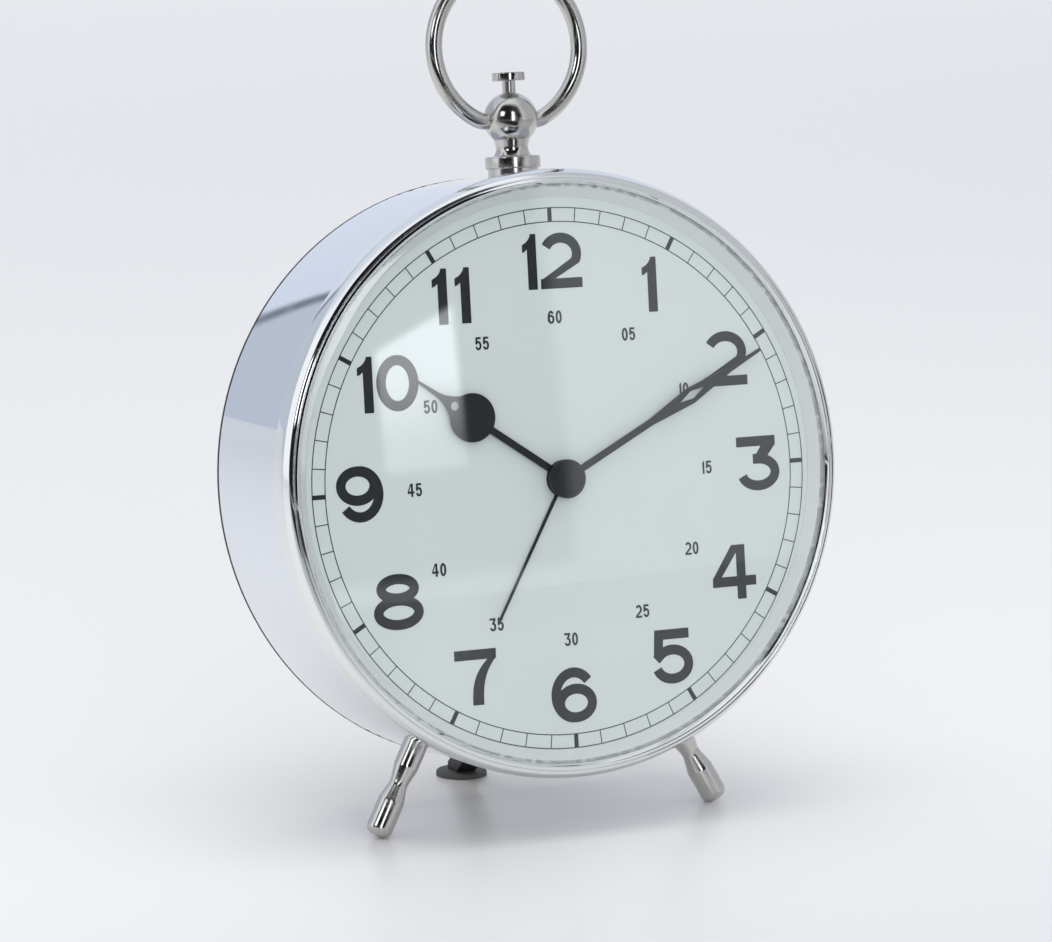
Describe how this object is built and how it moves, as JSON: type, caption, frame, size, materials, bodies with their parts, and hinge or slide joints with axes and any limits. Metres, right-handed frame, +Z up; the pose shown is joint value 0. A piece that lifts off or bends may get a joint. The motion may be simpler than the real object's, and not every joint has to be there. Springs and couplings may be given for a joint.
{
  "type": "alarm clock",
  "caption": "Round chrome analogue alarm clock leaning back on two turned legs and a rear foot, with a finial, ring handle and top push button.",
  "frame": {"origin": "on the table, under the middle of the overall box", "axes": "+Z up, the dial faces -Y and leans back by 7 degrees, +X to the right as seen from the front"},
  "size_m": [0.1, 0.0546, 0.1422],
  "materials": {
    "case_chrome": "polished",
    "nickel": "polished",
    "clear_lens": "clear polished",
    "silver_ring": "satin",
    "dial_white": "matte printed",
    "hand_black": "matte",
    "wheel_brass": "machined",
    "steel": "machined",
    "coil_copper": "enamelled wire",
    "movement_plastic": "moulded",
    "board_green": "laminate",
    "cover_black": "fine moulded grain",
    "switch_grey": "moulded",
    "foot_rubber": "matte",
    "cell_jacket": "printed sleeve"
  },
  "bodies": {
    "case": {"case_drum": "case_chrome", "front_bezel": "case_chrome", "lens": "clear_lens", "dial_ring": "silver_ring", "dial_plate": "dial_white", "movement_front": "movement_plastic", "movement_back": "movement_plastic", "movement_screws": "steel", "motor_coil": "coil_copper", "motor_core": "steel", "circuit_board": "board_green", "rear_cover": "cover_black", "rear_foot": "foot_rubber", "cover_posts": "cover_black", "cover_screws": "steel", "battery_tray": "cover_black", "battery_cell": "cell_jacket", "positive_contact": "steel", "negative_contact": "steel", "buzzer": "wheel_brass", "switch_body": "cover_black", "finial": "nickel", "finial_washer": "nickel", "finial_nut": "steel", "snooze_switch": "cover_black", "button_spring": "steel", "left_leg": "nickel", "right_leg": "nickel", "leg_nuts": "steel"},
    "minute_train": {"centre_arbor": "steel", "centre_wheel": "wheel_brass", "minute_hand": "hand_black", "centre_cap": "hand_black"},
    "hour_train": {"hour_wheel": "wheel_brass", "hour_hand": "hand_black"},
    "alarm_train": {"alarm_wheel": "wheel_brass", "alarm_hand": "hand_black"},
    "motion_work": {"motion_wheel": "wheel_brass"},
    "third_train": {"third_wheel": "wheel_brass"},
    "time_setter": {"time_set_knob": "cover_black", "time_set_arbor": "steel"},
    "alarm_setter": {"alarm_set_knob": "cover_black", "alarm_set_arbor": "steel"},
    "ring": {"ring_handle": "nickel"},
    "button": {"snooze_button": "nickel", "stop_clip": "steel"},
    "switch": {"alarm_switch": "switch_grey"},
    "door": {"battery_door": "cover_black"}
  },
  "joints": [
    {"name": "minute_turn", "type": "hinge", "parent": "case", "child": "minute_train", "pos_m": [0, -0.01821, 0.05861], "axis": [0, 0.9924, -0.1227], "continuous": true},
    {"name": "hour_turn", "type": "hinge", "parent": "case", "child": "hour_train", "pos_m": [0, -0.01821, 0.05861], "axis": [0, 0.9924, -0.1227], "continuous": true},
    {"name": "motion_turn", "type": "hinge", "parent": "case", "child": "motion_work", "pos_m": [0, -0.01674, 0.07052], "axis": [0, 0.9924, -0.1227], "continuous": true},
    {"name": "third_turn", "type": "hinge", "parent": "case", "child": "third_train", "pos_m": [0, -0.01993, 0.04471], "axis": [0, 0.9924, -0.1227], "continuous": true},
    {"name": "time_knob_turn", "type": "hinge", "parent": "case", "child": "time_setter", "pos_m": [0.016, -0.01821, 0.05861], "axis": [0, 0.9924, -0.1227], "continuous": true},
    {"name": "alarm_turn", "type": "hinge", "parent": "case", "child": "alarm_train", "pos_m": [0, -0.01821, 0.05861], "axis": [0, 0.9924, -0.1227], "continuous": true},
    {"name": "alarm_knob_turn", "type": "hinge", "parent": "case", "child": "alarm_setter", "pos_m": [-0.016, -0.01821, 0.05861], "axis": [0, 0.9924, -0.1227], "continuous": true},
    {"name": "ring_swing", "type": "hinge", "parent": "case", "child": "ring", "pos_m": [0, 0.00226, 0.11573], "axis": [1, 0, 0], "range_deg": [-110, 110]},
    {"name": "button_press", "type": "slide", "parent": "case", "child": "button", "axis": [0, -0.1227, -0.9924], "range_m": [0, 0.0015], "stiffness_N_per_m": 350, "deforming": ["button_spring"]},
    {"name": "switch_slide", "type": "slide", "parent": "case", "child": "switch", "axis": [1, 0, 0], "range_m": [0, 0.005]},
    {"name": "door_swing", "type": "hinge", "parent": "case", "child": "door", "pos_m": [0, 0.01337, 0.02714], "axis": [-1, 0, 0], "range_deg": [0, 105]}
  ],
  "couplings": [
    {"joint": "hour_turn", "follows": "minute_turn", "ratio": 0.083333},
    {"joint": "motion_turn", "follows": "minute_turn", "ratio": -0.33333},
    {"joint": "third_turn", "follows": "minute_turn", "ratio": -6},
    {"joint": "time_knob_turn", "follows": "minute_turn", "ratio": -3},
    {"joint": "alarm_knob_turn", "follows": "alarm_turn", "ratio": -1.6667}
  ]
}
